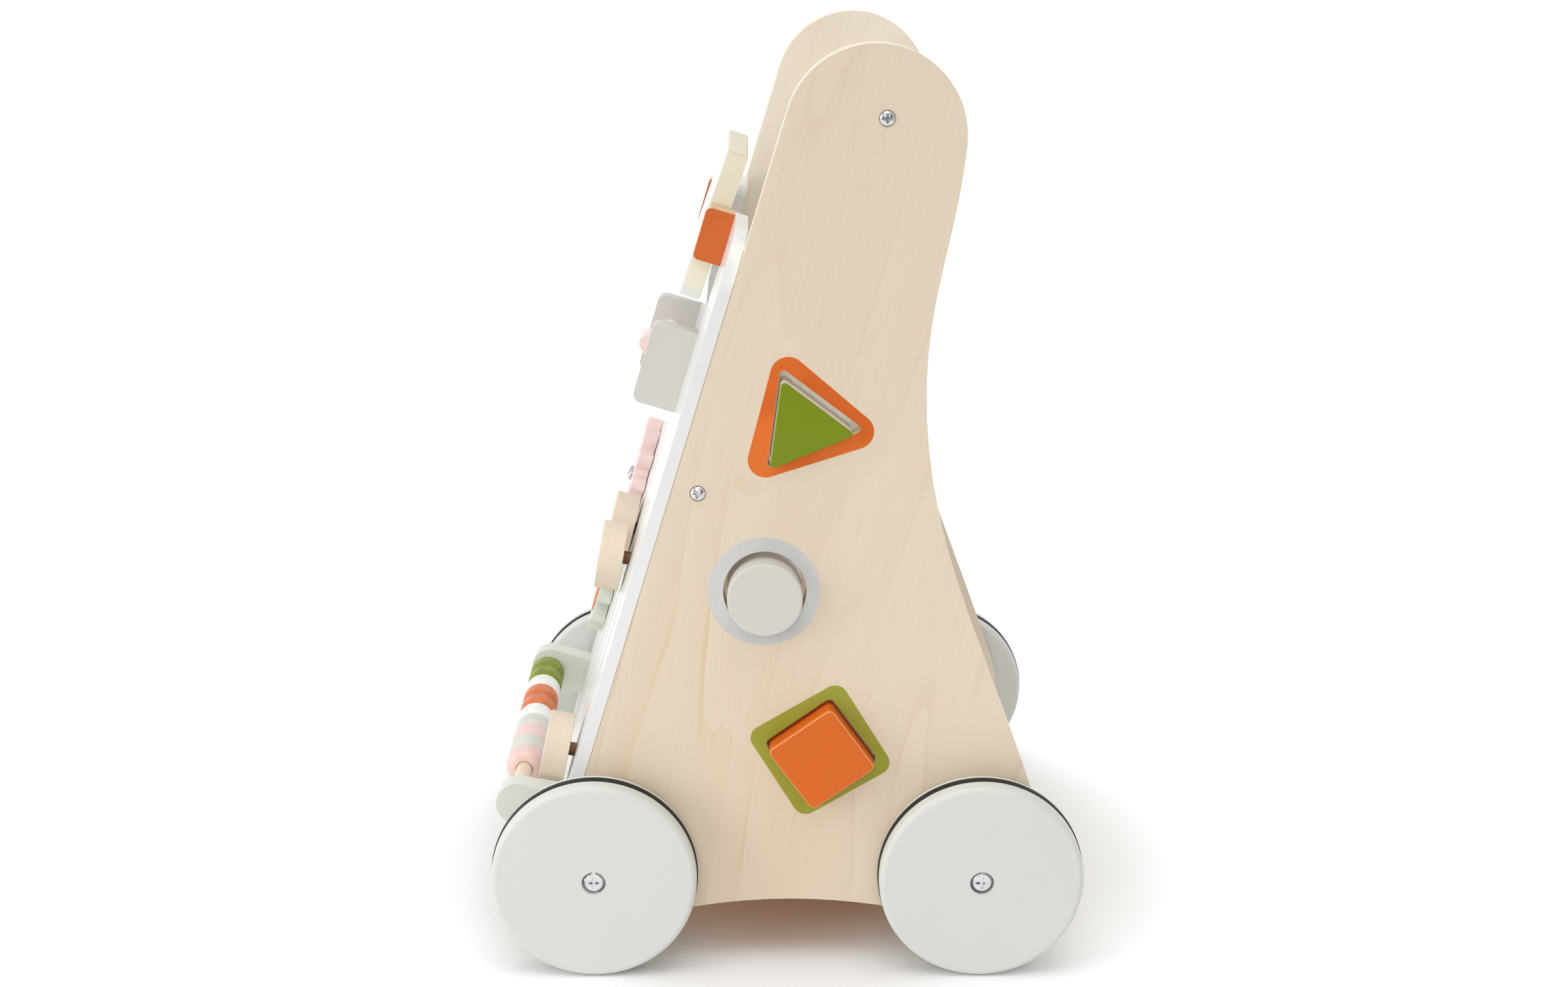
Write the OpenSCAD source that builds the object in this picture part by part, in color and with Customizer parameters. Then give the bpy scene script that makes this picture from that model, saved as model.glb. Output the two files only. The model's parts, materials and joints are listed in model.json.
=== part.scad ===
/* [Overall] */
// Width over the outer faces of the wheels
overall_w = 290; // [270:1:320]
// Lean of the front edge and the toy panel, in degrees from upright
lean = 16.6; // [14:0.1:19]
// Height of the datum point on the front edge, from which toy heights are taken
datum_z = 101.5; // [98:0.5:105]

/* [Wheels] */
// Diameter over the rubber ring
wheel_d = 104; // [100:1:108]
// Thickness of a wheel
wheel_w = 18; // [16:1:20]
// Distance between the front and rear axles
wheel_base = 194.6; // [188:0.2:202]
// Gap between a wheel and the side panel
wheel_gap = 3; // [2.5:0.1:4]
// Width of the rubber ring
ring_w = 4.9; // [3:0.1:5.4]

/* [Side panels] */
// Thickness of the plywood side panels
panel_t = 12; // [10:0.5:14]
// Radius of the round top
top_r = 43; // [38:1:46]
// Height of the centre of the round top
top_z = 421; // [410:1:430]
// Distance of that centre behind the middle of the wheelbase
top_y = 38; // [34:1:42]
// Height of the lower edge
foot_z = 28; // [24:1:32]
// Height of the arch between the wheels at its crown
arch_z = 33.4; // [30:0.2:38]

/* [Shape sorter] */
// Length of the sorter blocks
block_l = 32; // [26:1:36]
// How far a resting block stands out of the panel
block_out = 8; // [4:1:12]
// Radius of the round hole
round_hole_r = 20.5; // [20.2:0.1:22]
// Radius of the round block
round_block_r = 18.5; // [17:0.1:18.8]

/* [Toy panel] */
// Thickness of the white toy panel
toy_t = 6.5; // [6:0.1:8]
// Height of its top edge above the datum, along the slope
toy_top = 283.5; // [278:0.5:290]
// Depth of its lower edge below the datum, along the slope
toy_low = 62; // [55:1:66]
// Width of the notch that the flip board turns through
notch_w = 95; // [94:0.5:96]
// Depth of that notch
notch_h = 52.5; // [51:0.5:56]

/* [Flip board] */
// Length of the flip board
flip_l = 77; // [72:1:80]
// Width of the flip board
flip_w = 92.6; // [90:0.2:92.8]
// Thickness of the flip board
flip_t = 11; // [9:0.5:11.5]

/* [Gears] */
// Teeth on each gear
gear_teeth = 12; // [10:1:14]
// Pitch radius of each gear
gear_pitch_r = 30; // [29:0.5:30]
// Thickness of each gear
gear_t = 7.4; // [5:0.2:7.6]

/* [Knobs] */
// Radius of the sliding knobs
knob_r = 18.2; // [16:0.2:18.4]
// Thickness of the sliding knobs
knob_t = 13; // [11:0.5:13]
// Share of the play in the slots by which the knobs droop
knob_droop = 1; // [0:0.1:1]

/* [Abacus] */
// Diameter of a bead
bead_d = 19.8; // [18:0.2:20]
// Length of a bead
bead_l = 15.1; // [14:0.1:15.6]
// Diameter of the rod
rod_d = 8.4; // [7.4:0.2:8.6]

/* [Hidden] */
$fn = 64;

half_w = overall_w / 2;
panel_out = half_w - wheel_w - wheel_gap;
panel_in = panel_out - panel_t;
axle_z = wheel_d / 2;
axle_y = wheel_base / 2;

// Unit vectors of the slope: up along the front edge, and out of the toy panel
up_y = sin(lean);
up_z = cos(lean);
out_y = -cos(lean);
out_z = sin(lean);
// Point where the front edge meets the round top, and the datum on the same line
tangent_y = top_y + top_r * out_y;
tangent_z = top_z + top_r * out_z;
datum_y = tangent_y - (tangent_z - datum_z) * tan(lean);

// Round corners of the side panels round the axles
front_foot_r = 20;
rear_foot_r = 34;
front_foot_z = foot_z + front_foot_r;
front_foot_y = datum_y + (front_foot_z - datum_z) * tan(lean) + front_foot_r / cos(lean);
rear_foot_z = foot_z + rear_foot_r;
rear_foot_y = 98;
// Waist of the rear edge, and the angles at which it leaves and meets the round corners
waist = [64.8, 303];
rear_top_a = -5;
rear_foot_a = 18;
// Half span of the arch at the level of the lower edge, and the radius that follows
arch_half = 55;
arch_y = 2;
arch_rise = arch_z - foot_z;
arch_r = (arch_half * arch_half + arch_rise * arch_rise) / (2 * arch_rise);

// Sorter holes: centre in the side view, reach of the corners, turn
tri_at = [6, 284.4];
tri_reach = 27.6;
tri_turn = -7;
round_at = [-12.4, 198.8];
square_at = [16.4, 114.5];
square_reach = 27.8;
square_turn = -9;
tri_corner_r = 2;
square_corner_r = 3;
block_edge_r = 0.9;
// Smaller reach of the blocks in those holes, how they lie in them, and how much more or less they stand out
tri_less = 3.4;
square_less = 1.5;
tri_shift = [-0.9, -1.9];
square_shift = [0, -1];
tri_out = -3;
square_out = 1.5;
round_out = 1.5;
round_drop = round_hole_r - round_block_r - 0.35;

handle_at = [43.2, 429.7];
handle_d = 27;
rail_s = 157.2;
rail_depth = 25;
rail_h = 24;
beam_w = 24;
beam_h = 30;
base_t = 8;
base_recess = 3;
base_front_y = -104;
base_rear_y = 112;

// Wheel details
ring_proud = 0.5;
ring_depth = 1.8;
ring_in = 8.1;
wheel_r = wheel_d / 2 - ring_proud;
wheel_edge_r = 3;
hub_r = 4.05;
bolt_recess_r = 6;
bolt_recess = 3.4;
bolt_head_r = 5.5;
bolt_head_h = 2.4;
shoulder_r = 4;
thread_r = 3;
thread_l = 30;
spacer_r = 8;
fit = 0.1;
float_gap = 0.35;

// Pan-head screws through the side panels
screw_head_r = 3.6;
screw_head_h = 2.4;
screw_seat = 0.8;
screw_r = 2;
screw_l = 40;
cross_w = 1.1;

// Toys on the panel: x across, s along the slope, q out of the front edge plane
flip_s = 272.6;
flip_q = 14.9;
flip_rest = 2.4;
flip_axle_r = 2.5;
post_w = 15;
post_s = 256.5;
post_h = 27;
post_q = 21.2;
post_corner_r = 3;
plate_x = 38;
plate_w = 10;
plate_s = 173;
plate_h = 43.5;
plate_q = 29.7;
plate_corner_r = 4.5;
roller_s = 196;
roller_q = 20.4;
roller_lobes = 4;
roller_mid_r = 11.6;
roller_swing = 1.8;
roller_w = 18;
roller_hub_r = 5.5;
roller_axle_r = 3;
running = 0.06;

// Gears: centre of the upper one, and the lean of the line to the lower one
pink_at = [-72, 104.1];
gear_line = 3.8;
green_at = pink_at + 2 * gear_pitch_r * [sin(gear_line), -cos(gear_line)];
gear_module = 2 * gear_pitch_r / gear_teeth;
gear_press = 25;
gear_base_r = gear_pitch_r * cos(gear_press);
gear_tip_r = gear_pitch_r + 0.88 * gear_module;
gear_root_r = gear_pitch_r - 1.06 * gear_module;
gear_backlash = 0.5;
gear_q = toy_t + 1;
gear_shaft_r = 3;
gear_head_r = 4.25;
washer_r = 9;
disc_r = 24;
disc_t = 1.6;

// Sliding knobs: three parallel slots
knob_x = [-12, 33, 78];
knob_s = [90.6, 87.8, -6.9];
slot_low = -6.9;
slot_high = 90.6;
slot_w = 8.4;
// How far each knob leans down in its slot, and stands off the panel
knob_tilt = [2, 6.7, 5.5];
knob_gap = [1.1, 3.4, 3.2];
knob_edge_r = 0.8;
stem_r = 3.5;
flange_r = 8;
flange_t = 3;

// Abacus
rod_s = -32.5;
rod_q = 28.9;
bracket_x = 101.2;
bracket_w = 12;
bracket_r = 11.2;
nose_q = 27.86;
bead_bore_r = rod_d / 2 + 0.35;
bead_edge_r = 4.5;
bead_gap = 0.12;
bead_first_x = -89.4 + bead_l / 2;

// Screws from behind that hold the posts, plates and brackets, as x and s
toy_screw_r = 1.75;
toy_screw_in = 12;
toy_screw_at = concat(
    [for (side = [-1, 1]) [side * (notch_w / 2 + post_w - 5), post_s + 7]],
    [for (side = [-1, 1], s = [182, 208]) [side * plate_x, s]],
    [for (side = [-1, 1]) [side * bracket_x, rod_s]]);

wood = "#e3d2b9";
pale = "#dadcd4";
white = "#ecece9";
green = "#8a9a3c";
orange = "#d96f38";
pink = "#efccc4";
steel = "#c9cccf";
bead_colours = [green, green, white, orange, orange, white, pale, pink, pale, pink];

function polar(r, a) = [r * cos(a), r * sin(a)];
function arc(c, r, a0, a1, n = 8) = [for (i = [0 : n]) c + polar(r, a0 + (a1 - a0) * i / n)];
function bezier(p, n = 14) = [for (i = [0 : n]) let (t = i / n, u = 1 - t)
    u * u * u * p[0] + 3 * u * u * t * p[1] + 3 * u * t * t * p[2] + t * t * t * p[3]];

// Places children in the frame of the toy panel: x across, y up the slope, z out of it
module on_front() {
    translate([0, datum_y, datum_z]) rotate([90 - lean, 0, 0]) children();
}

// Extrudes a side-view outline across the width
module across(w) {
    rotate([90, 0, 90]) linear_extrude(w, center = true) children();
}

module rod_across(r, l) {
    rotate([0, 90, 0]) cylinder(r = r, h = l, center = true);
}

// Polygon with n round corners whose tips reach a given radius
module round_gon(n, reach, r, turn) {
    polygon([for (i = [0 : n - 1]) let (a = turn + i * 360 / n)
        each arc(polar(reach - r, a), r, a - 180 / n, a + 180 / n, 6)]);
}

module side_outline() {
    rear_top = [top_y, top_z] + polar(top_r, rear_top_a);
    rear_foot = [rear_foot_y, rear_foot_z] + polar(rear_foot_r, rear_foot_a);
    upper = bezier([rear_top, rear_top + polar(45, rear_top_a - 90), waist + [0, 45], waist]);
    lower = bezier([waist, waist - [0, 80], rear_foot + polar(100, rear_foot_a + 90), rear_foot]);
    arch_a = asin(arch_half / arch_r);
    polygon(concat(
        arc([front_foot_y, front_foot_z], front_foot_r, 270, 180 - lean, 10),
        arc([top_y, top_z], top_r, 180 - lean, rear_top_a, 32),
        [for (i = [1 : len(upper) - 1]) upper[i]],
        [for (i = [1 : len(lower) - 2]) lower[i]],
        arc([rear_foot_y, rear_foot_z], rear_foot_r, rear_foot_a, -90, 12),
        arc([arch_y, arch_z - arch_r], arch_r, 90 - arch_a, 90 + arch_a, 10)));
}

// Hole across for a pan-head screw, with a shallow seat for its head
module screw_way() {
    rod_across(screw_r + fit, 4 * panel_t);
    rod_across(screw_head_r + 0.4, 2 * screw_seat);
}

// Holes for the bolts and screws that every side panel has
module side_fixings() {
    for (y = [-axle_y, axle_y]) translate([0, y, axle_z]) rod_across(thread_r + fit, 4 * panel_t);
    translate([0, handle_at[0], handle_at[1]]) screw_way();
    on_front() translate([0, rail_s, -rail_depth / 2]) screw_way();
}

module side_panel(side) {
    color(wood) difference() {
        translate([side * (panel_out - panel_t / 2), 0, 0]) across(panel_t) side_outline();
        translate([side * panel_out, 0, 0]) side_fixings();
        if (side > 0) translate([panel_out, 0, 0]) {
            across(4 * panel_t) translate(tri_at) round_gon(3, tri_reach, tri_corner_r, tri_turn);
            across(4 * panel_t) translate(square_at) round_gon(4, square_reach, square_corner_r, square_turn);
            translate([0, round_at[0], round_at[1]]) rod_across(round_hole_r, 4 * panel_t);
        }
    }
}

module handle_bar() {
    color(wood) translate([0, handle_at[0], handle_at[1]]) difference() {
        rod_across(handle_d / 2, 2 * panel_in);
        for (side = [-1, 1]) translate([side * panel_in, 0, 0]) rod_across(screw_r + fit, 2 * screw_l);
    }
}

module cross_rail() {
    color(wood) on_front() translate([0, rail_s, -rail_depth / 2]) difference() {
        cube([2 * panel_in, rail_h, rail_depth], center = true);
        for (side = [-1, 1]) translate([side * panel_in, 0, 0]) rod_across(screw_r + fit, 2 * screw_l);
    }
}

module axle_beam(y) {
    color(wood) difference() {
        translate([0, y, axle_z]) cube([2 * panel_in, beam_w, beam_h], center = true);
        for (side = [-1, 1]) translate([side * panel_in, y, axle_z]) rod_across(thread_r + fit, 2 * thread_l);
        for (side = [-1, 1]) translate([side * panel_in / 2, y, axle_z]) cylinder(r = screw_r + fit, h = beam_h);
    }
}

module base_board() {
    color(wood) difference() {
        translate([-panel_in, base_front_y, axle_z + beam_h / 2])
            cube([2 * panel_in, base_rear_y - base_front_y, base_t]);
        for (side = [-1, 1], y = [-axle_y, axle_y]) translate([side * panel_in / 2, y, axle_z]) {
            cylinder(r = screw_r + fit, h = 2 * beam_h);
            translate([0, 0, beam_h / 2 + base_t - base_recess]) cylinder(r = screw_head_r + 0.6, h = beam_h);
        }
    }
}

// Pan-head screw along +z: the head stands on z = 0, the shank runs below it
module pan_screw(head_r, head_h, r, l) {
    difference() {
        rotate_extrude() polygon(concat([[0, -l], [r, -l], [r, 0], [head_r, 0], [head_r, 0.35 * head_h]],
            [for (i = [1 : 6]) [head_r * cos(90 * i / 6), head_h * (0.35 + 0.65 * sin(90 * i / 6))]]));
        for (turn = [0, 90]) rotate(turn)
            translate([0, 0, head_h]) cube([1.25 * head_r, cross_w, 0.9 * head_h], center = true);
    }
}

module base_screws() {
    color(steel) for (side = [-1, 1], y = [-axle_y, axle_y])
        translate([side * panel_in / 2, y, axle_z + beam_h / 2 + base_t - base_recess])
            pan_screw(screw_head_r, screw_head_h, screw_r, base_t - base_recess + 12);
}

module panel_screws() {
    color(steel) for (side = [-1, 1]) {
        translate([side * (panel_out - screw_seat), handle_at[0], handle_at[1]]) rotate([0, side * 90, 0])
            pan_screw(screw_head_r, screw_head_h, screw_r, screw_l);
        on_front() translate([side * (panel_out - screw_seat), rail_s, -rail_depth / 2]) rotate([0, side * 90, 0])
            pan_screw(screw_head_r, screw_head_h, screw_r, screw_l);
    }
}

// Outline of the toy panel, x across and y up the slope
module toy_outline() {
    half = panel_out - 0.5;
    top_corner = 30;
    low_corner = 10;
    shoulder = 6;
    difference() {
        union() {
            translate([-half, low_corner - toy_low]) square([2 * half, toy_top + toy_low - top_corner - low_corner]);
            translate([top_corner - half, 0]) square([2 * (half - top_corner), toy_top]);
            translate([low_corner - half, -toy_low]) square([2 * (half - low_corner), toy_low]);
            for (side = [-1, 1]) {
                translate([side * (half - top_corner), toy_top - top_corner]) circle(top_corner);
                translate([side * (half - low_corner), low_corner - toy_low]) circle(low_corner);
            }
        }
        translate([-notch_w / 2, toy_top - notch_h + shoulder]) square([notch_w, notch_h]);
        translate([shoulder - notch_w / 2, toy_top - notch_h]) square([notch_w - 2 * shoulder, notch_h]);
        for (side = [-1, 1]) {
            translate([side * (notch_w / 2 - shoulder), toy_top - notch_h + shoulder]) circle(shoulder);
            translate([side * notch_w / 2, toy_top]) difference() {
                square(2 * shoulder, center = true);
                translate([side * shoulder, -shoulder]) circle(shoulder);
            }
        }
        for (x = knob_x) {
            translate([x - slot_w / 2, slot_low]) square([slot_w, slot_high - slot_low]);
            for (s = [slot_low, slot_high]) translate([x, s]) circle(slot_w / 2);
        }
    }
}

module toy_panel() {
    color(white) on_front() difference() {
        linear_extrude(toy_t) toy_outline();
        for (at = [pink_at, green_at]) translate(at) cylinder(r = screw_r + fit, h = 4 * toy_t, center = true);
        for (at = toy_screw_at) translate(at) cylinder(r = toy_screw_r + fit, h = 4 * toy_t, center = true);
    }
}

module toy_screws() {
    color(steel) on_front() for (at = toy_screw_at) translate(at) rotate([180, 0, 0])
        pan_screw(2 * toy_screw_r, 2, toy_screw_r, toy_t + toy_screw_in);
}

// Hole from behind in a piece that stands on the toy panel
module toy_screw_holes() {
    for (at = toy_screw_at) translate([at[0], at[1], toy_t - 1]) cylinder(r = toy_screw_r + fit, h = toy_screw_in + 1.5);
}

// Wheel along +z: z = 0 is the inner face, z = wheel_w the outer one
module wheel_solid() {
    e = wheel_edge_r;
    groove_r = wheel_r - ring_depth;
    groove_z = wheel_w - ring_in;
    rotate_extrude() polygon(concat(
        [[hub_r, 0]], arc([wheel_r - e, e], e, -90, 0),
        [[wheel_r, groove_z - ring_w], [groove_r, groove_z - ring_w], [groove_r, groove_z], [wheel_r, groove_z]],
        arc([wheel_r - e, wheel_w - e], e, 0, 90),
        [[bolt_recess_r, wheel_w], [bolt_recess_r, wheel_w - bolt_recess], [hub_r, wheel_w - bolt_recess]]));
}

module ring_solid() {
    inner = wheel_r - ring_depth;
    outer = wheel_d / 2;
    z0 = wheel_w - ring_in - ring_w;
    soft = 1;
    rotate_extrude() polygon(concat(
        [[inner, z0]], arc([outer - soft, z0 + soft], soft, -90, 0),
        arc([outer - soft, z0 + ring_w - soft], soft, 0, 90), [[inner, z0 + ring_w]]));
}

// Places a wheel piece at one axle end, outer face outwards
module at_wheel(side, end) {
    translate([side * (half_w - wheel_w), end * axle_y, axle_z]) rotate([0, side * 90, 0]) children();
}

module wheel(side, end) {
    color(pale) at_wheel(side, end) wheel_solid();
}

module tyre(side, end) {
    color("#2b2724") at_wheel(side, end) ring_solid();
}

module wheel_bolts() {
    seat = wheel_w - bolt_recess + float_gap;
    color(steel) for (side = [-1, 1], end = [-1, 1]) at_wheel(side, end) difference() {
        rotate_extrude() polygon(concat(
            [[0, -wheel_gap - panel_t - thread_l + 2], [thread_r, -wheel_gap - panel_t - thread_l + 2],
                [thread_r, -wheel_gap], [shoulder_r, -wheel_gap], [shoulder_r, seat], [bolt_head_r, seat]],
            [[bolt_head_r, seat + 0.6 * bolt_head_h], [0.8 * bolt_head_r, seat + bolt_head_h], [0, seat + bolt_head_h]]));
        for (turn = [0, 90]) rotate(turn)
            translate([0, 0, seat + bolt_head_h]) cube([1.2 * bolt_head_r, 1.4 * cross_w, bolt_head_h], center = true);
    }
}

module wheel_spacers() {
    color(steel) for (side = [-1, 1], end = [-1, 1]) at_wheel(side, end) translate([0, 0, -wheel_gap]) difference() {
        cylinder(r = spacer_r, h = wheel_gap - float_gap);
        translate([0, 0, -1]) cylinder(r = shoulder_r + fit, h = wheel_gap + 2);
    }
}

// Prism along x with soft end edges, its n corner tips reaching a given radius
module soft_prism(n, reach, corner, turn) {
    e = block_edge_r;
    hull() for (a = [0 : 22.5 : 90])
        across(block_l - 2 * e * (1 - sin(a)))
            round_gon(n, reach - e * (1 - cos(a)), corner - e * (1 - cos(a)), turn);
}

module at_block(at, out) {
    translate([panel_out + block_out + out - block_l / 2, at[0], at[1]]) children();
}

module triangle_block() {
    color(green) at_block(tri_at + tri_shift, tri_out) soft_prism(3, tri_reach - tri_less, tri_corner_r, tri_turn);
}

module square_block() {
    color(orange) at_block(square_at + square_shift, square_out) soft_prism(4, square_reach - square_less, square_corner_r, square_turn);
}

module round_block() {
    r = round_block_r;
    e = block_edge_r;
    color(pale) at_block(round_at - [0, round_drop], round_out) rotate([0, 90, 0]) translate([0, 0, -block_l / 2])
        rotate_extrude() polygon(concat([[0, 0]], arc([r - e, e], e, -90, 0), arc([r - e, block_l - e], e, 0, 90),
            [[0, block_l]]));
}

// Side view of a plate that stands on the toy panel, y along the slope, with round front corners
module standing_outline(s0, h, q1, r) {
    translate([s0, toy_t]) square([h, q1 - toy_t - r]);
    translate([s0 + r, toy_t]) square([h - 2 * r, q1 - toy_t]);
    for (s = [s0 + r, s0 + h - r]) translate([s, q1 - r]) circle(r);
}

module flip_post(side) {
    color(orange) on_front() difference() {
        translate([side * (notch_w + post_w) / 2, 0, 0]) across(post_w)
            standing_outline(post_s, post_h, post_q, post_corner_r);
        translate([side * notch_w / 2, flip_s, flip_q]) rod_across(flip_axle_r + fit / 2, 2 * 8);
        toy_screw_holes();
    }
}

module flip_axle() {
    color(wood) on_front() translate([0, flip_s, flip_q]) rod_across(flip_axle_r, notch_w + 2 * 7.6);
}

module flip_board() {
    e = 1.2;
    color("#e8dfc3") on_front() translate([0, flip_s, flip_q]) rotate([-flip_rest, 0, 0]) difference() {
        across(flip_w) {
            square([flip_l, flip_t - 2 * e], center = true);
            square([flip_l - 2 * e, flip_t], center = true);
            for (a = [-1, 1], b = [-1, 1]) translate([a * (flip_l / 2 - e), b * (flip_t / 2 - e)]) circle(e);
        }
        rod_across(flip_axle_r + running, flip_w + 2);
    }
}

module roller_plate(side) {
    color("#d2d0c9") on_front() difference() {
        translate([side * plate_x, 0, 0]) across(plate_w) standing_outline(plate_s, plate_h, plate_q, plate_corner_r);
        translate([side * (plate_x - plate_w / 2), roller_s, roller_q]) rod_across(roller_axle_r + fit / 2, 2 * 7);
        toy_screw_holes();
    }
}

module roller_axle() {
    color(wood) on_front() translate([0, roller_s, roller_q]) rod_across(roller_axle_r, 2 * (plate_x + 1.6));
}

module lobed_roller() {
    hub_l = 2 * (plate_x - plate_w / 2 - float_gap);
    color(pink) on_front() translate([0, roller_s, roller_q]) difference() {
        union() {
            across(roller_w) polygon([for (a = [0 : 4 : 356])
                polar(roller_mid_r + roller_swing * cos(roller_lobes * (a - 86)), a)]);
            rod_across(roller_hub_r, hub_l);
        }
        rod_across(roller_axle_r + running, hub_l + 2);
    }
}

// Involute gear outline with a tooth centred on the +x direction
function inv(a) = tan(a) - a * PI / 180;
function flank_half(r) = let (a = acos(gear_base_r / r))
    ((PI * gear_module / 2 - gear_backlash) / (2 * gear_pitch_r) + inv(gear_press) - inv(a)) * 180 / PI;
module gear_outline() {
    steps = 6;
    radii = [for (i = [0 : steps]) gear_base_r + 0.01 + (gear_tip_r - gear_base_r - 0.01) * i / steps];
    root_half = flank_half(radii[0]);
    polygon([for (k = [0 : gear_teeth - 1]) let (mid = k * 360 / gear_teeth) each concat(
        [polar(gear_root_r, mid - root_half - 1.5)],
        [for (r = radii) polar(r, mid - flank_half(r))],
        [for (i = [steps : -1 : 0]) polar(radii[i], mid + flank_half(radii[i]))],
        [polar(gear_root_r, mid + root_half + 1.5)])]);
}

module gear(at, turn, colour) {
    color(colour) on_front() translate([at[0], at[1], gear_q]) difference() {
        linear_extrude(gear_t) rotate(turn) gear_outline();
        translate([0, 0, -1]) cylinder(r = gear_shaft_r + running, h = gear_t + 2);
    }
}

module gear_disc() {
    color(orange) on_front() translate([green_at[0], green_at[1], gear_q + gear_t]) difference() {
        cylinder(r = disc_r, h = disc_t);
        translate([0, 0, -1]) cylinder(r = 1.7 * gear_head_r, h = disc_t + 2);
    }
}

module gear_screws() {
    seat = gear_q + gear_t + float_gap;
    color(steel) on_front() for (at = [pink_at, green_at]) translate(at) {
        translate([0, 0, seat]) pan_screw(gear_head_r, screw_head_h, gear_shaft_r, seat - toy_t);
        translate([0, 0, 0.5]) cylinder(r = screw_r, h = toy_t - 0.5);
    }
}

module gear_washers() {
    color(steel) on_front() for (at = [pink_at, green_at]) translate([at[0], at[1], toy_t]) difference() {
        cylinder(r = washer_r, h = gear_q - toy_t - float_gap);
        translate([0, 0, -1]) cylinder(r = gear_shaft_r + fit, h = 6);
    }
}

// Places a knob piece in its slot, drooping about the middle of the panel
module at_knob(i) {
    on_front() translate([knob_x[i], knob_s[i], toy_t / 2]) rotate([knob_droop * knob_tilt[i], 0, 0])
        translate([0, 0, -toy_t / 2]) children();
}

module knob(i) {
    e = knob_edge_r;
    color(wood) at_knob(i) translate([0, 0, toy_t + knob_gap[i]]) difference() {
        rotate_extrude() polygon(concat([[0, 0]], arc([knob_r - e / 2, e / 2], e / 2, -90, 0),
            arc([knob_r - e, knob_t - e], e, 0, 90), [[0, knob_t]]));
        translate([0, 0, -1]) cylinder(r = stem_r + fit / 2, h = knob_t - 3);
    }
}

module knob_stem(i) {
    back = -flange_t - 1.2;
    color("#a67c57") at_knob(i) {
        translate([0, 0, back]) cylinder(r = stem_r, h = toy_t + knob_gap[i] + knob_t - 4 - back);
        translate([0, 0, back]) cylinder(r = flange_r, h = flange_t);
    }
}

module abacus_bracket(side) {
    color(pale) on_front() difference() {
        translate([side * bracket_x, 0, 0]) across(bracket_w) {
            translate([rod_s - bracket_r, toy_t]) square([2 * bracket_r, nose_q - toy_t]);
            translate([rod_s, nose_q]) circle(bracket_r);
        }
        translate([side * (bracket_x - bracket_w / 2), rod_s, rod_q]) rod_across(rod_d / 2 + fit / 2, 2 * 9);
        toy_screw_holes();
    }
}

module abacus_rod() {
    color(wood) on_front() translate([0, rod_s, rod_q]) rod_across(rod_d / 2, 2 * (bracket_x - bracket_w / 2 + 8.5));
}

module bead(i) {
    r = bead_d / 2;
    e = bead_edge_r;
    color(bead_colours[i - 1]) on_front()
        translate([bead_first_x + (i - 1) * (bead_l + bead_gap), rod_s, rod_q]) rotate([0, 90, 0])
            translate([0, 0, -bead_l / 2]) rotate_extrude()
                polygon(concat([[bead_bore_r, 0]], arc([r - e, e], e, -90, 0), arc([r - e, bead_l - e], e, 0, 90),
                    [[bead_bore_r, bead_l]]));
}

side_panel(1);  // left_side_panel
side_panel(-1);  // right_side_panel
handle_bar();
cross_rail();
axle_beam(-axle_y);  // front_axle_beam
axle_beam(axle_y);  // rear_axle_beam
base_board();
base_screws();
toy_panel();
toy_screws();
panel_screws();
wheel_bolts();
wheel_spacers();
wheel(1, -1);  // wheel_front_left
wheel(-1, -1);  // wheel_front_right
wheel(1, 1);  // wheel_rear_left
wheel(-1, 1);  // wheel_rear_right
tyre(1, -1);  // tyre_front_left
tyre(-1, -1);  // tyre_front_right
tyre(1, 1);  // tyre_rear_left
tyre(-1, 1);  // tyre_rear_right
triangle_block();
round_block();
square_block();
flip_post(1);  // flip_post_left
flip_post(-1);  // flip_post_right
flip_axle();
flip_board();
roller_plate(1);  // roller_plate_left
roller_plate(-1);  // roller_plate_right
roller_axle();
lobed_roller();
gear(pink_at, gear_line - 90, pink);  // pink_gear
gear(green_at, gear_line + 90 + 180 / gear_teeth, "#d3d9c6");  // green_gear
gear_disc();
gear_screws();
gear_washers();
knob(0);  // knob_inner
knob(1);  // knob_middle
knob(2);  // knob_outer
knob_stem(0);  // knob_stem_inner
knob_stem(1);  // knob_stem_middle
knob_stem(2);  // knob_stem_outer
abacus_bracket(1);  // abacus_bracket_left
abacus_bracket(-1);  // abacus_bracket_right
abacus_rod();
bead(1);  // bead_1
bead(2);  // bead_2
bead(3);  // bead_3
bead(4);  // bead_4
bead(5);  // bead_5
bead(6);  // bead_6
bead(7);  // bead_7
bead(8);  // bead_8
bead(9);  // bead_9
bead(10);  // bead_10
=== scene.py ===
import bpy
import json
from math import cos, pi, radians, sin
from mathutils import Matrix, Vector


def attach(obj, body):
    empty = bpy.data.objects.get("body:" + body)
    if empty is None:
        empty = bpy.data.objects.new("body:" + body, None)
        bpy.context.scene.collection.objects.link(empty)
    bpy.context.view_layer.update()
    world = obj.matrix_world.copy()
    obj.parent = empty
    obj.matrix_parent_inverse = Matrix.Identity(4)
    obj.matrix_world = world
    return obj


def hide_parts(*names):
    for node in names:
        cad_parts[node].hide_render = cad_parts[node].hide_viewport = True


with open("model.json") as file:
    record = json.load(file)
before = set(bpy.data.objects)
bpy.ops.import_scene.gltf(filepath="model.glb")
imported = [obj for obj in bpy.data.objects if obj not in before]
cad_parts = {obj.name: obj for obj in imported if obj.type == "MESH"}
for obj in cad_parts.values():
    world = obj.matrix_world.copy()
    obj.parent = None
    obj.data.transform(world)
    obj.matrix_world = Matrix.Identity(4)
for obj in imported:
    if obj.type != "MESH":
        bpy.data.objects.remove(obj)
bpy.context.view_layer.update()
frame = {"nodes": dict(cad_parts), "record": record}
nodes = frame["nodes"]
bodyOf = {node: body for body, members in frame["record"]["behaviour"]["bodies"].items() for node in members}
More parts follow.
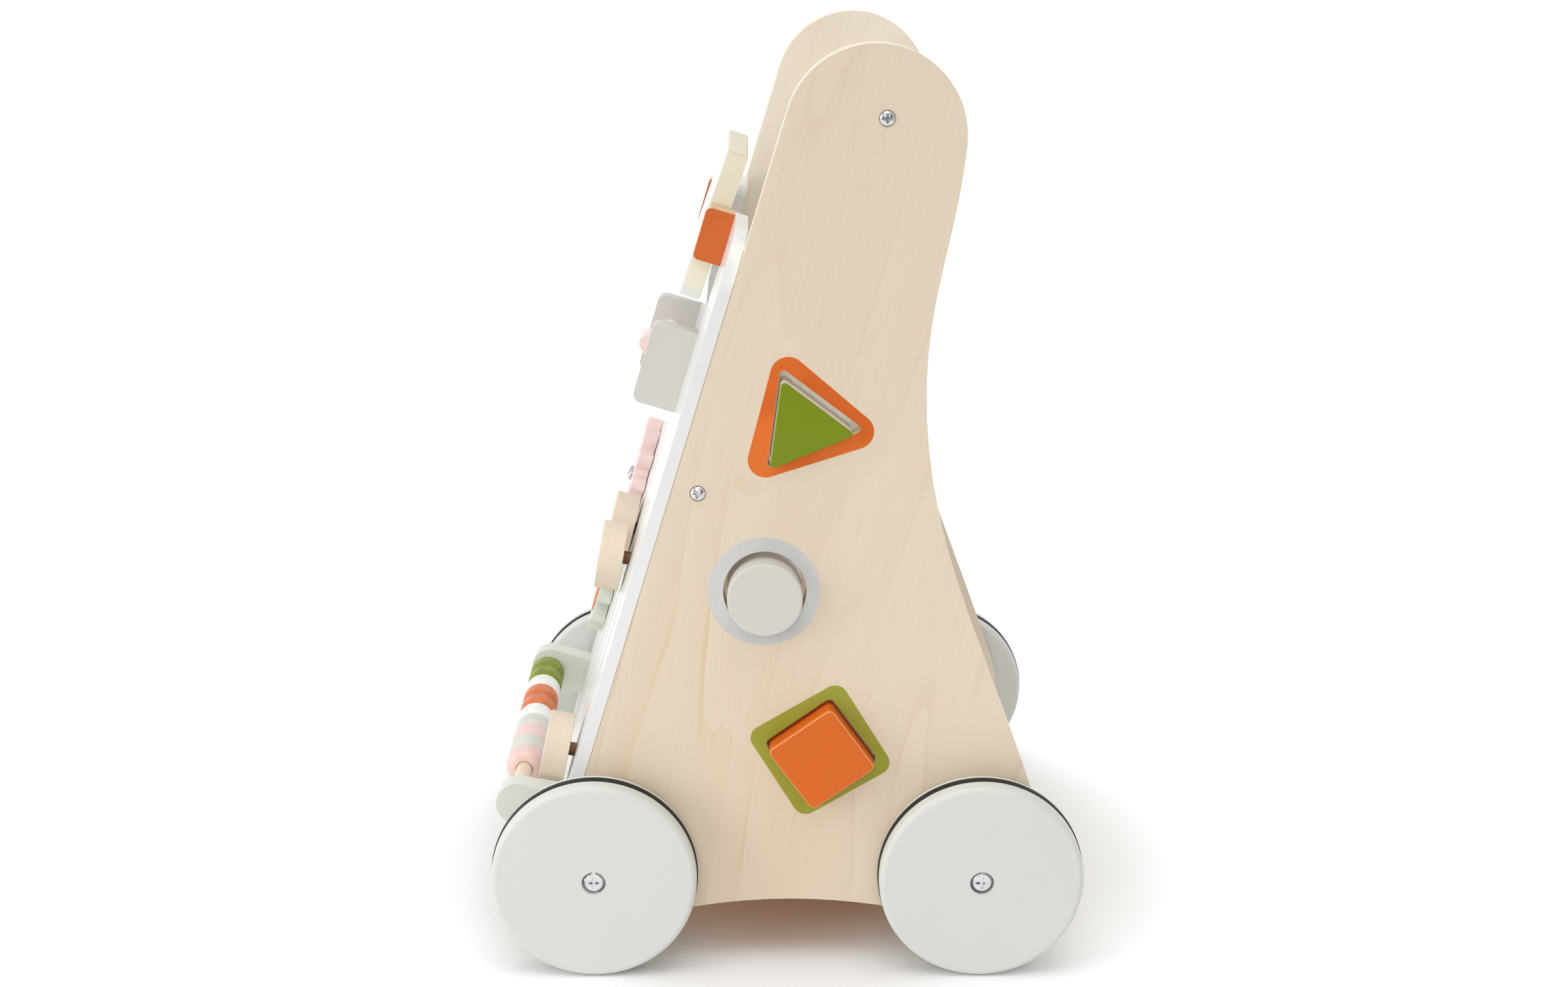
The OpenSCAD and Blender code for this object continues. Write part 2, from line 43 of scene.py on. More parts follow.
print("frame loaded:", len(nodes), "nodes")

# the sloping front: a point on the front edge of the side panels, the lean, and the ways up and out of the slope
slope = {"datumY": -0.1021172, "datumZ": 0.1015, "lean": radians(16.6)}
upSlope = Vector((0, sin(slope["lean"]), cos(slope["lean"])))
outSlope = Vector((0, -cos(slope["lean"]), sin(slope["lean"])))


def onFront(across, up, out):  # millimetres across, up the slope and out of it
    datum = Vector((across / 1000, slope["datumY"], slope["datumZ"]))
    return datum + upSlope * up / 1000 + outSlope * out / 1000


def depthOf(point):  # millimetres that a point stands out of the slope
    return (point - onFront(0, 0, 0)).dot(outSlope) * 1000


# camera and lamps

eye = {
    "place": (1.1622, -0.0238, 0.5417), "pitch": 0.2749, "pan": 0.0197, "roll": 0.0086,
    "lens": 51.0, "sensor": 36, "reach": 100,
}


def addCamera():
    pitch, pan, roll = eye["pitch"], eye["pan"], eye["roll"]
    look = Vector((-cos(pitch) * cos(pan), cos(pitch) * sin(pan), -sin(pitch)))
    side = Vector((sin(pan), cos(pan), 0))
    rise = side.cross(look)
    right = side * cos(roll) + rise * sin(roll)
    top = rise * cos(roll) - side * sin(roll)
    bpy.ops.object.camera_add()
    camera = bpy.context.object
    camera.name = "photoCamera"
    camera.matrix_world = Matrix.Translation(eye["place"]) @ Matrix((right, top, -look)).transposed().to_4x4()
    camera.data.sensor_width = eye["sensor"]
    camera.data.lens = eye["lens"]
    camera.data.clip_end = eye["reach"]
    bpy.context.scene.camera = camera


lamps = {  # places and sizes in metres
    "overhead": {"place": (0.6, -0.1, 2.6), "aim": (0, 0, 0.2), "size": 2.2, "watts": 18},
    "front": {"place": (2.4, -0.2, 1.2), "aim": (0, 0, 0.1), "size": 1.4, "watts": 12},
    "left": {"place": (1.1, -2.2, 0.75), "aim": (0, -0.1, 0.15), "size": 1.5, "watts": 19},
}


def addLamps():
    for name, lamp in lamps.items():
        bpy.ops.object.light_add(type="AREA", location=lamp["place"])
        light = bpy.context.object
        light.name = name + "Lamp"
        light.rotation_euler = (Vector(lamp["aim"]) - Vector(lamp["place"])).to_track_quat("-Z", "Y").to_euler()
        light.data.shape = "DISK"
        light.data.size = lamp["size"]
        light.data.energy = lamp["watts"]


# finishes


def shade(r, g, b):  # screen colour, as linear
    return tuple(c / 255 / 12.92 if c <= 10 else ((c / 255 + 0.055) / 1.055) ** 2.4 for c in (r, g, b)) + (1,)


def dim(colour, share):
    return [c * share for c in colour[:3]] + [1]


class Wire:  # a socket that takes part in sums
    def __init__(self, finish, socket):
        self.finish, self.socket = finish, socket

    def __add__(self, other):
        return self.finish.maths("ADD", self, other)

    __radd__ = __add__

    def __sub__(self, other):
        return self.finish.maths("SUBTRACT", self, other)

    def __rsub__(self, other):
        return self.finish.maths("SUBTRACT", other, self)

    def __mul__(self, other):
        return self.finish.maths("MULTIPLY", self, other)

    def __lt__(self, other):
        return self.finish.maths("LESS_THAN", self, other)

    def __gt__(self, other):
        return self.finish.maths("GREATER_THAN", self, other)

    def __and__(self, other):
        return self.finish.maths("MINIMUM", self, other)

    def __or__(self, other):
        return self.finish.maths("MAXIMUM", self, other)

    def size(self):
        return self.finish.maths("ABSOLUTE", self)

    def step(self, low, high):  # 0 below low, 1 above high, smooth between
        return self.finish.node("MapRange", {"interpolation_type": "SMOOTHSTEP"}, {0: self, 1: low, 2: high})


class Finish:  # a material, or the tree of the world
    def __init__(self, name, tree=None, **sockets):
        if not tree:
            self.material = bpy.data.materials.new(name)
            self.material.use_nodes = True
            self.shader = self.material.node_tree.nodes["Principled BSDF"]
        self.tree = tree or self.material.node_tree
        self.coordinates = self.node("TexCoord", out="Generated" if tree else "Object")
        for socket, value in sockets.items():
            self.set(socket.replace("_", " "), value)

    def node(self, kind, settings={}, sockets={}, out=0):
        made = self.tree.nodes.new("ShaderNode" + kind)
        for key, value in settings.items():
            setattr(made, key, value)
        for key, value in sockets.items():
            self.feed(made.inputs[key], value)
        return Wire(self, made.outputs[out])

    def feed(self, socket, value):
        if isinstance(value, Wire):
            self.tree.links.new(value.socket, socket)
        else:
            socket.default_value = value

    def set(self, socket, value):
        self.feed(self.shader.inputs[socket], value)

    def maths(self, operation, *values):
        return self.node("Math", {"operation": operation}, dict(enumerate(values)))

    def axes(self):
        split = self.node("SeparateXYZ", {}, {0: self.coordinates}).socket.node
        return [Wire(self, output) for output in split.outputs]

    def ray(self, name):
        return self.node("LightPath", out="Is " + name + " Ray")

    def seen(self):  # 1 for what the camera, a reflection or glass looks at
        return self.ray("Camera") | self.ray("Glossy") | self.ray("Transmission")

    def noise(self, scale, detail, rough=0.5, vector=None, warp=0.0):
        sockets = {"Scale": scale, "Detail": detail, "Roughness": rough, "Distortion": warp}
        return self.node("TexNoise", {}, {"Vector": vector or self.coordinates, **sockets})

    def grain(self, stretch, detail, rough, warp=0.0, turn=(0, 0, 0)):  # noise that is turned, then drawn out
        sockets = {0: self.coordinates, "Rotation": turn, "Scale": [1 / s for s in stretch]}
        return self.noise(1, detail, rough, self.node("Mapping", {"vector_type": "TEXTURE"}, sockets), warp)

    def mix(self, factor, first, second):
        return self.node("Mix", {"data_type": "RGBA"}, {0: factor, 6: first, 7: second}, out=2)

    def bump(self, height, strength, distance):
        self.set("Normal", self.node("Bump", {}, {"Height": height, "Strength": strength, "Distance": distance}))


# In the settings of the finishes a noise is scale, detail and roughness, and a grain is stretch, detail, roughness and
# warp. A step is where it starts and ends, a bump is strength and distance, and a share is how much of a tone mixes in.

paints = {
    "orange": shade(221, 104, 26),
    "postOrange": shade(206, 103, 45),
    # a paler orange for the square block's rounded rims: partly paint worn at the edges, partly a painted highlight
    "wearAndHighlightOrange": shade(238, 160, 108),
    "green": shade(121, 141, 10),
    "white": shade(236, 237, 235),
    "palest": shade(218, 220, 215),
    "cream": shade(240, 234, 213),
    "plateGrey": shade(208, 206, 199),
    "blockGrey": shade(214, 211, 205),
    # the brackets' grey is lighter than the plates': painted light for the brackets in the wheel's shade
    "bracketGreyPaintedLight": shade(222, 222, 214),
    "pink": shade(246, 221, 217),
    "paleGreen": shade(216, 222, 208),
    "orangePrint": shade(215, 97, 18),
    "orangePrintThin": shade(233, 119, 44),
    "greyPrint": shade(200, 200, 198),
    "greyPrintThin": shade(216, 215, 213),
    "greenPrint": shade(149, 151, 34),
    "greenPrintThin": shade(160, 162, 58),
}
paintLook = {
    "shader": {"Coat_Roughness": 0.2, "Specular_IOR_Level": 0.25},
    "cloud": (22, 3), "cloudStep": (0.3, 0.75), "cloudDim": 0.965, "cloudRough": 0.06,
    "fine": (900, 2, 0.6), "fineRough": 0.08, "fineHeight": 0.4,
    "coarse": (160, 2), "coarseHeight": 0.6, "relief": 0.0006,
}
# painted shade of the narrow gap where the toy panel meets the side panels: where it starts, how deep it reaches, and
# its tone
panelJointShade = {"from": 0.1135, "depth": 0.0003, "tone": shade(146, 120, 94)}


def paintedWood(name, colour, rough=0.4, coat=0.05, strength=0.06, joint=None):
    v = paintLook
    f = Finish(name, Coat_Weight=coat, **v["shader"])
    cloud = f.noise(*v["cloud"])
    fine = f.noise(*v["fine"])
    tone = f.mix(cloud.step(*v["cloudStep"]), colour, dim(colour, v["cloudDim"]))
    if joint:  # painted shade: a dark line where the toy panel meets the side panels, for the shade in the gap between them
        x, y, z = f.axes()
        depth = (y - slope["datumY"]) * outSlope.y + (z - slope["datumZ"]) * outSlope.z
        tone = f.mix((x.size() > joint["from"]) & (depth < joint["depth"]), tone, joint["tone"])
    f.set("Base Color", tone)
    f.set("Roughness", rough + fine * v["fineRough"] - cloud * v["cloudRough"])
    f.bump(fine * v["fineHeight"] + f.noise(*v["coarse"]) * v["coarseHeight"], strength, v["relief"])
    return f.material


def roundShape(y, z, points, corner):  # 1 inside the outline round corner discs, in millimetres, anticlockwise
    inside = None
    for i, point in enumerate(points):
        du, dv = y * 1000 - point[0], z * 1000 - point[1]
        disc = (du * du + dv * dv) < corner ** 2
        if len(points) == 1:
            return disc
        sides = [Vector(point) - Vector(points[i - 1]), Vector(points[(i + 1) % len(points)]) - Vector(point)]
        normals = [Vector((side.y, -side.x)).normalized() for side in sides]
        middle = (normals[0] + normals[1]).normalized()
        wall = (du * normals[1].x + dv * normals[1].y) < corner
        part = wall & (((du * middle.x + dv * middle.y) < corner * middle.dot(normals[1])) | disc)
        inside = part if inside is None else inside & part
    return inside


prints = {  # painted surrounds of the sorter holes: y and z of the discs in their corners, and the radius
    "triangle": {
        "points": [(31.24, 279.81), (-1.78, 307.92), (-12.41, 265.48)], "corner": 8.66, "paint": "orangePrint",
    },
    "circle": {"points": [(-12.6, 198.6)], "corner": 27.8, "paint": "greyPrint"},
    "square": {
        "points": [(44.22, 108.33), (22.9, 142.89), (-12.32, 121.58), (9.08, 87.04)], "corner": 6.72,
        "paint": "greenPrint",
    },
}
ink = {  # on the outer face only, from this x on
    "from": 0.1236, "cloud": (26, 2), "cloudStep": (0.36, 0.6), "cloudShare": 0.65,
    "fibreStep": (0.4, 0.8), "fibreShare": 0.25, "smoother": 0.06,
}
veneer = {
    "shader": {"Coat_Roughness": 0.32, "Coat_Weight": 0.04, "Specular_IOR_Level": 0.3},
    "lean": radians(11),
    "flame": ((24, 20, 3.4), 1, 0.4),
    "wander": ((60, 75, 6), 3, 0.6), "wanderStep": (0.4, 0.66),
    "ringsAcross": 30, "ringsFlame": 6, "ringsWander": 0.4, "ringShare": 0.2, "ringFigure": 0.45,
    "lineStep": (0.86, 0.99), "lineShare": 0.12, "lineFigure": 0.38,
    "patch": ((12, 26, 3.5), 2, 0.5), "patchStep": (0.44, 0.74), "patchShare": 0.5,
    "fibre": ((900, 1250, 34), 3, 0.62), "fibreStep": (0.46, 0.82), "fibreShare": 0.13,
    "fleck": ((420, 560, 44), 2, 0.5), "fleckStep": (0.56, 0.76), "fleckShare": 0.15,
    "figure": ((10, 9, 4), 1, 0.5), "figureStep": (0.36, 0.6),
    "rough": 0.48, "fibreRough": 0.12, "fibreHeight": 0.7, "ringHeight": 0.3, "bump": (0.05, 0.0004),
    "printed": {
        "light": shade(231, 216, 193), "middle": shade(225, 208, 183), "warm": shade(228, 206, 179),
        "line": shade(216, 182, 143), "fleck": shade(205, 178, 143),
    },
    # tones of the far panel, lighter than the near panel's: painted light for its inner face, which the near panel
    # shades
    "plainPaintedLight": {
        "light": shade(243, 234, 217), "middle": shade(240, 229, 210), "warm": shade(238, 224, 203),
        "line": shade(224, 199, 165), "fleck": shade(214, 190, 156),
    },
}


def plyFace(name, panel):  # peeled veneer: long faint flames with a line at each ring
    v, tone = veneer, veneer[panel]
    f = Finish(name, **v["shader"])
    x, y, z = f.axes()
    turn = (-v["lean"], 0, 0)
    across = y * cos(v["lean"]) - z * sin(v["lean"])
    flame = f.grain(*v["flame"], turn=turn)
    wander = f.grain(*v["wander"], turn=turn)
    ring = f.maths("FRACT", across * v["ringsAcross"] + flame * v["ringsFlame"] + wander * v["ringsWander"])
    patch = f.grain(*v["patch"], turn=turn)
    fibre = f.grain(*v["fibre"], turn=turn)
    fleck = f.grain(*v["fleck"], turn=turn).step(*v["fleckStep"])
    figure = f.grain(*v["figure"], turn=turn).step(*v["figureStep"])
    wood = f.mix(ring * (figure * v["ringFigure"] + v["ringShare"]), tone["light"], tone["middle"])
    wood = f.mix(patch.step(*v["patchStep"]) * v["patchShare"], wood, tone["warm"])
    line = ring.step(*v["lineStep"]) * wander.step(*v["wanderStep"]) * (figure * v["lineFigure"] + v["lineShare"])
    wood = f.mix(line, wood, tone["line"])
    wood = f.mix(fibre.step(*v["fibreStep"]) * v["fibreShare"], wood, tone["line"])
    wood = f.mix(fleck * v["fleckShare"], wood, tone["fleck"])
    rough = v["rough"] + fibre * v["fibreRough"]
    if panel == "printed":
        outer = x > ink["from"]
        cloud = f.noise(*ink["cloud"]).step(*ink["cloudStep"])
        thin = fibre.step(*ink["fibreStep"]) * ink["fibreShare"] + cloud * ink["cloudShare"]
        for shape in prints.values():
            inside = roundShape(y, z, shape["points"], shape["corner"]) & outer
            wood = f.mix(inside, wood, f.mix(thin, paints[shape["paint"]], paints[shape["paint"] + "Thin"]))
            rough = rough - inside * ink["smoother"]
    f.set("Base Color", wood)
    f.set("Roughness", rough)
    f.bump(fibre * v["fibreHeight"] + ring * v["ringHeight"], *v["bump"])
    return f.material


plyLayers = {
    "plies": 7, "thick": 0.012, "start": 0.112, "bandStep": (0.35, 0.65), "bandShare": 0.5,
    "fibre": ((1500, 260, 260), 3, 0.6), "fibreStep": (0.45, 0.8), "fibreShare": 0.25,
    # the plies' tones, raised as painted light for the hole walls in shade
    "light": shade(249, 239, 220), "dark": shade(233, 210, 177), "thread": shade(214, 186, 149),
    "coat": 0.06, "rough": 0.5, "fibreRough": 0.2, "fibreHeight": 0.6, "bandHeight": 0.4, "bump": (0.12, 0.0004),
}


def plyEdge(name):  # plies seen end on, as a wave from 0 to 1 across the panel, in tones made lighter as painted light for the shaded hole walls
    v = plyLayers
    f = Finish(name, Coat_Weight=v["coat"])
    x = f.axes()[0]
    band = f.maths("SINE", (x.size() - v["start"]) * (v["plies"] * pi / v["thick"])) * 0.5 + 0.5
    fibre = f.grain(*v["fibre"])
    tone = f.mix(band.step(*v["bandStep"]) * v["bandShare"], v["light"], v["dark"])
    f.set("Base Color", f.mix(fibre.step(*v["fibreStep"]) * v["fibreShare"], tone, v["thread"]))
    f.set("Roughness", v["rough"] + fibre * v["fibreRough"])
    f.bump(fibre * v["fibreHeight"] + band * v["bandHeight"], *v["bump"])
    return f.material


bareWood = {
    "sway": ((7, 38, 38), 2, 0.5), "swayRough": 0.05,
    "streakAlong": 16, "streakAcross": 380, "streak": (4, 0.6, 0.4),
    "streakStep": (0.35, 0.72), "streakShare": 0.6, "streakHeight": 0.5,
    "jitter": ((30, 200, 200), 2, 0.5), "ringsSway": 7, "ringsJitter": 0.4, "ringShare": 0.4,
    "lineStep": (0.72, 0.98), "lineShare": 0.4, "lineDim": 0.8,
    "pore": ((110, 1900, 1900), 2, 0.6), "poreStep": (0.58, 0.82), "poreShare": 0.16, "poreDim": 0.72,
    "poreRough": 0.16, "poreHeight": 0.5, "rough": 0.5, "bump": (0.08, 0.0004),
}
grainUpSlope = (0, radians(-73.4), radians(90))
grainAlongY = (0, 0, radians(90))


def rawWood(name, light, dark, turn=(0, 0, 0), rings=1.0, show=1.0):  # grain runs along the turned x
    v = bareWood
    f = Finish(name)
    sway = f.grain(*v["sway"], turn=turn)
    narrow = v["streakAcross"] * rings
    streak = f.grain((v["streakAlong"], narrow, narrow), *v["streak"], turn=turn)
    ring = f.maths("FRACT", sway * v["ringsSway"] * rings + f.grain(*v["jitter"], turn=turn) * v["ringsJitter"])
    pore = f.grain(*v["pore"], turn=turn)
    tone = f.mix(streak.step(*v["streakStep"]) * v["streakShare"] + ring * v["ringShare"] * show, light, dark)
    tone = f.mix(ring.step(*v["lineStep"]) * v["lineShare"] * show, tone, dim(dark, v["lineDim"]))
    f.set("Base Color", f.mix(pore.step(*v["poreStep"]) * v["poreShare"], tone, dim(dark, v["poreDim"])))
    f.set("Roughness", v["rough"] + pore * v["poreRough"] + sway * v["swayRough"])
    f.bump(streak * v["streakHeight"] + pore * v["poreHeight"], *v["bump"])
    return f.material


beadLook = {
    "shader": {"Coat_Weight": 0.15, "Coat_Roughness": 0.2, "Specular_IOR_Level": 0.35},
    "grain": ((60, 260, 260), 3, 0.6, 0.5), "grainStep": (0.38, 0.7), "grainShare": 0.6, "grainRough": 0.1,
    "knot": (70, 2), "knotStep": (0.62, 0.78), "knotShare": 0.4, "rough": 0.42, "bump": (0.04, 0.0005),
}


def stainedBead(name, colour, deep):  # paint thin enough to show the wood under it
    v = beadLook
    f = Finish(name, **v["shader"])
    grain = f.grain(*v["grain"])
    knot = f.noise(*v["knot"]).step(*v["knotStep"])
    f.set("Base Color", f.mix(grain.step(*v["grainStep"]) * v["grainShare"] + knot * v["knotShare"], colour, deep))
    f.set("Roughness", v["rough"] + grain * v["grainRough"])
    f.bump(grain, *v["bump"])
    return f.material


plating = {
    "tone": shade(196, 198, 201), "rough": 0.16, "turned": ((600, 600, 600), 2, 0.5), "turnedRough": 0.1,
    "haze": (140, 2), "hazeStep": (0.4, 0.8), "hazeDim": 0.86, "hazeRough": 0.06,
}


def platedSteel(name):
    v = plating
    f = Finish(name, Metallic=1.0)
    turned = f.grain(*v["turned"])
    haze = f.noise(*v["haze"])
    f.set("Base Color", f.mix(haze.step(*v["hazeStep"]), v["tone"], dim(v["tone"], v["hazeDim"])))
    f.set("Roughness", v["rough"] + turned * v["turnedRough"] + haze * v["hazeRough"])
    return f.material


rubber = {
    "tone": shade(17, 16, 15), "dusty": shade(38, 35, 33), "dust": (240, 3, 0.6), "dustStep": (0.45, 0.85),
    "rough": 0.62, "dustRough": 0.2, "pits": (1600, 2), "bump": (0.15, 0.0003),
}


def rubberRing(name):
    v = rubber
    f = Finish(name)
    dust = f.noise(*v["dust"])
    f.set("Base Color", f.mix(dust.step(*v["dustStep"]), v["tone"], v["dusty"]))
    f.set("Roughness", v["rough"] + dust * v["dustRough"])
    f.bump(f.noise(*v["pits"]), *v["bump"])
    return f.material


hub = {"y": 0.0973, "z": 0.052, "recess": 0.0061}
wheelLook = {
    "shader": {"Coat_Weight": 0.06, "Coat_Roughness": 0.25, "Specular_IOR_Level": 0.3},
    # the seat tone is painted shade: darker paint in the recess round the bolt head
    "clouded": shade(216, 218, 213), "seat": shade(202, 200, 195), "cloud": (16, 3), "cloudStep": (0.3, 0.8),
    "fine": (1000, 2, 0.6), "fineRough": 0.1, "fineHeight": 0.5, "coarse": (120, 2), "coarseHeight": 0.5,
    "rough": 0.44, "bump": (0.05, 0.0005),
}


def wheelPaint(name):  # pale paint, a little darker in the seat of the bolt head: painted shade of the recess
    v = wheelLook
    f = Finish(name, **v["shader"])
    y, z = f.axes()[1:]
    across, rise = y.size() - hub["y"], z - hub["z"]
    seat = (across * across + rise * rise) < hub["recess"] ** 2
    cloud = f.noise(*v["cloud"])
    fine = f.noise(*v["fine"])
    face = f.mix(cloud.step(*v["cloudStep"]), paints["palest"], v["clouded"])
    f.set("Base Color", f.mix(seat, face, v["seat"]))
    f.set("Roughness", v["rough"] + fine * v["fineRough"])
    f.bump(fine * v["fineHeight"] + f.noise(*v["coarse"]) * v["coarseHeight"], *v["bump"])
    return f.material


flip = {  # middle of the board, its lean back from the slope, and where its painted parts start, in metres
    "at": onFront(0, 272.6, 14.9), "back": radians(2.4),
    "half": 0.0385, "topRim": 0.0008, "footBand": 0.0055, "sideFrom": 0.0458, "faceFrom": 0.0047,
}
flipLook = {
    "shader": {"Coat_Weight": 0.06, "Coat_Roughness": 0.22, "Specular_IOR_Level": 0.3},
    # the top end's tone is darker than the cream: painted shade for the light it gets from above
    "clouded": shade(227, 218, 190), "foot": shade(226, 226, 221), "top": shade(226, 218, 192),
    "cloud": (24, 3), "cloudStep": (0.3, 0.8), "cloudRough": 0.1, "rough": 0.36,
    "fine": (500, 2), "bump": (0.05, 0.0005),
}


def flipPaint(name):  # cream sides and a top end painted a shade darker, as painted shade against the light from above; a grey foot, white faces
    v = flipLook
    f = Finish(name, **v["shader"])
    x, y, z = f.axes()
    up = upSlope * cos(flip["back"]) - outSlope * sin(flip["back"])
    out = upSlope * sin(flip["back"]) + outSlope * cos(flip["back"])
    along = (y - flip["at"].y) * up.y + (z - flip["at"].z) * up.z
    depth = (y - flip["at"].y) * out.y + (z - flip["at"].z) * out.z
    top = along > flip["half"] - flip["topRim"]
    side = ((x.size() > flip["sideFrom"]) & (depth < flip["faceFrom"])) | top
    foot = along < flip["footBand"] - flip["half"]
    cloud = f.noise(*v["cloud"])
    cream = f.mix(cloud.step(*v["cloudStep"]), paints["cream"], v["clouded"])
    # the top end gets the darker cream: painted shade against the overhead light
    cream = f.mix(top, f.mix(foot, cream, v["foot"]), v["top"])
    f.set("Base Color", f.mix(side, paints["white"], cream))
    f.set("Roughness", v["rough"] + cloud * v["cloudRough"])
    f.bump(f.noise(*v["fine"]), *v["bump"])
    return f.material


finishes = {
    "plyPrinted": plyFace("plywoodPrinted", "printed"),
    "plyPlainPaintedLight": plyFace("plywoodPlainPaintedLight", "plainPaintedLight"),
    "plyEdge": plyEdge("plywoodEdgePaintedLight"),
    "white": paintedWood("whiteGloss", paints["white"], rough=0.3, coat=0.3, strength=0.012, joint=panelJointShade),
    "wheel": wheelPaint("wheelPaint"),
    "grey": paintedWood("greyPaint", paints["plateGrey"]),
    "blockGrey": paintedWood("blockGreyPaint", paints["blockGrey"]),
    "bracketGreyPaintedLight": paintedWood("bracketGreyWithPaintedLight", paints["bracketGreyPaintedLight"]),
    "green": paintedWood("greenPaint", paints["green"]),
    "orange": paintedWood("orangePaint", paints["orange"]),
    "postOrange": paintedWood("postOrangePaint", paints["postOrange"]),
    "pink": paintedWood("pinkPaint", paints["pink"]),
    "paleGreen": paintedWood("paleGreenPaint", paints["paleGreen"]),
    "flip": flipPaint("flipBoardPaint"),
    "knob": rawWood("knobWood", shade(226, 211, 191), shade(221, 204, 180), grainUpSlope, rings=1.8, show=0.12),
    "rail": rawWood("railWood", shade(231, 216, 193), shade(219, 198, 168)),
    "board": rawWood("boardWood", shade(222, 196, 161), shade(206, 176, 138), rings=0.6),
    "rod": rawWood("rodWood", shade(236, 221, 200), shade(226, 206, 180), rings=1.6),
    "postEdge": rawWood("postWood", shade(238, 226, 205), shade(230, 213, 188), grainUpSlope),
    "postTop": rawWood("postTopWood", shade(229, 197, 160), shade(220, 184, 144), grainUpSlope, rings=1.4),
    # bare wood for the triangle block's sides, made paler as painted light for the sides deep in the shaded hole
    "bareSidePaintedLight": rawWood("bareSidePaintedLightWood", shade(236, 231, 219), shade(226, 219, 202)),
    "wearAndHighlightOrange": paintedWood("wearAndHighlightOrangePaint", paints["wearAndHighlightOrange"]),
    "stem": rawWood("stemWood", shade(170, 128, 91), shade(144, 102, 68), grainAlongY, rings=1.4),
    "beadGreen": stainedBead("beadGreen", shade(132, 147, 40), shade(94, 108, 12)),
    "beadOrange": stainedBead("beadOrange", shade(217, 122, 74), shade(190, 92, 46)),
    "beadWhite": stainedBead("beadWhite", shade(240, 240, 238), shade(232, 231, 228)),
    "beadGrey": stainedBead("beadGrey", shade(216, 217, 210), shade(206, 206, 198)),
    "beadPink": stainedBead("beadPink", shade(236, 207, 201), shade(230, 195, 189)),
    "steel": platedSteel("platedSteel"),
    "rubber": rubberRing("rubberRing"),
}
print("finishes made:", len(finishes))


# pieces

meshWork = {  # the weld and the reach round a hole in metres, the back of a board in millimetres out of the slope
    "weld": 0.00001, "flat": radians(0.4), "holeReach": 0.006, "boardBack": 3,
    "faceTurn": 0.96, "rimTurn": 0.4, "topTurn": 0.9,
}


def onlyPick(piece):
    if bpy.context.mode != "OBJECT":
        bpy.ops.object.mode_set(mode="OBJECT")
    bpy.ops.object.select_all(action="DESELECT")
    piece.select_set(True)
    bpy.context.view_layer.objects.active = piece


def shiftDepth(piece, low, high, move):  # what lies between two depths moves out of the slope, in millimetres
    bpy.ops.mesh.select_all(action="DESELECT")
    bpy.ops.object.mode_set(mode="OBJECT")
    for point in piece.data.vertices:
        point.select = low < depthOf(point.co) < high
    bpy.ops.object.mode_set(mode="EDIT")
    bpy.ops.transform.translate(value=outSlope * move / 1000)


def roundEdges(piece, bevel, segments, sharp, leave, frontOnly):  # screw holes and the back of a board stay sharp
    bpy.ops.mesh.select_all(action="DESELECT")
    bpy.ops.mesh.edges_select_sharp(sharpness=radians(sharp))
    bpy.ops.object.mode_set(mode="OBJECT")
    for line in piece.data.edges:
        ends = [piece.data.vertices[i].co for i in line.vertices]
        small = any((end.yz - hole).length < meshWork["holeReach"] for end in ends for hole in leave)
        behind = frontOnly and any(depthOf(end) < meshWork["boardBack"] for end in ends)
        if small or behind:
            line.select = False
    bpy.ops.object.mode_set(mode="EDIT")
    bpy.ops.mesh.bevel(offset=bevel, segments=segments, affect="EDGES", clamp_overlap=True)


def lookOf(normal):  # 0 for faces across x, 2 for their rounded rims, 3 for ends up the slope, 1 for other edges
    across = abs(normal.x)
    if across > meshWork["faceTurn"]:
        return 0
    if across > meshWork["rimTurn"]:
        return 2
    return 3 if normal.dot(upSlope) > meshWork["topTurn"] else 1


def dress(node, finish, edge=None, rimFinish=None, top=None, bevel=0.0, segments=3, sharp=35, leave=(), frontOnly=False,
          nudge=None):
    piece = bpy.data.objects.new(node + "Dressed", nodes[node].data.copy())
    bpy.context.scene.collection.objects.link(piece)
    piece.data.materials.clear()
    for look in (finish, edge or finish, rimFinish or edge or finish, top or edge or finish):
        piece.data.materials.append(finishes[look])
    onlyPick(piece)
    bpy.ops.object.mode_set(mode="EDIT")
    bpy.ops.mesh.select_all(action="SELECT")
    bpy.ops.mesh.remove_doubles(threshold=meshWork["weld"])
    bpy.ops.mesh.dissolve_limited(angle_limit=meshWork["flat"])
    if nudge:
        shiftDepth(piece, **nudge)
    if bevel:
        roundEdges(piece, bevel, segments, sharp, leave, frontOnly)
    bpy.ops.object.mode_set(mode="OBJECT")
    for face in piece.data.polygons:
        face.material_index = lookOf(face.normal)
    bpy.ops.object.shade_smooth_by_angle(angle=radians(sharp))
    bpy.ops.object.modifier_add(type="WEIGHTED_NORMAL")
    piece.modifiers[-1].keep_sharp = True
    bpy.ops.object.modifier_apply(modifier=piece.modifiers[-1].name)
    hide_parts(node)
    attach(piece, bodyOf[node])


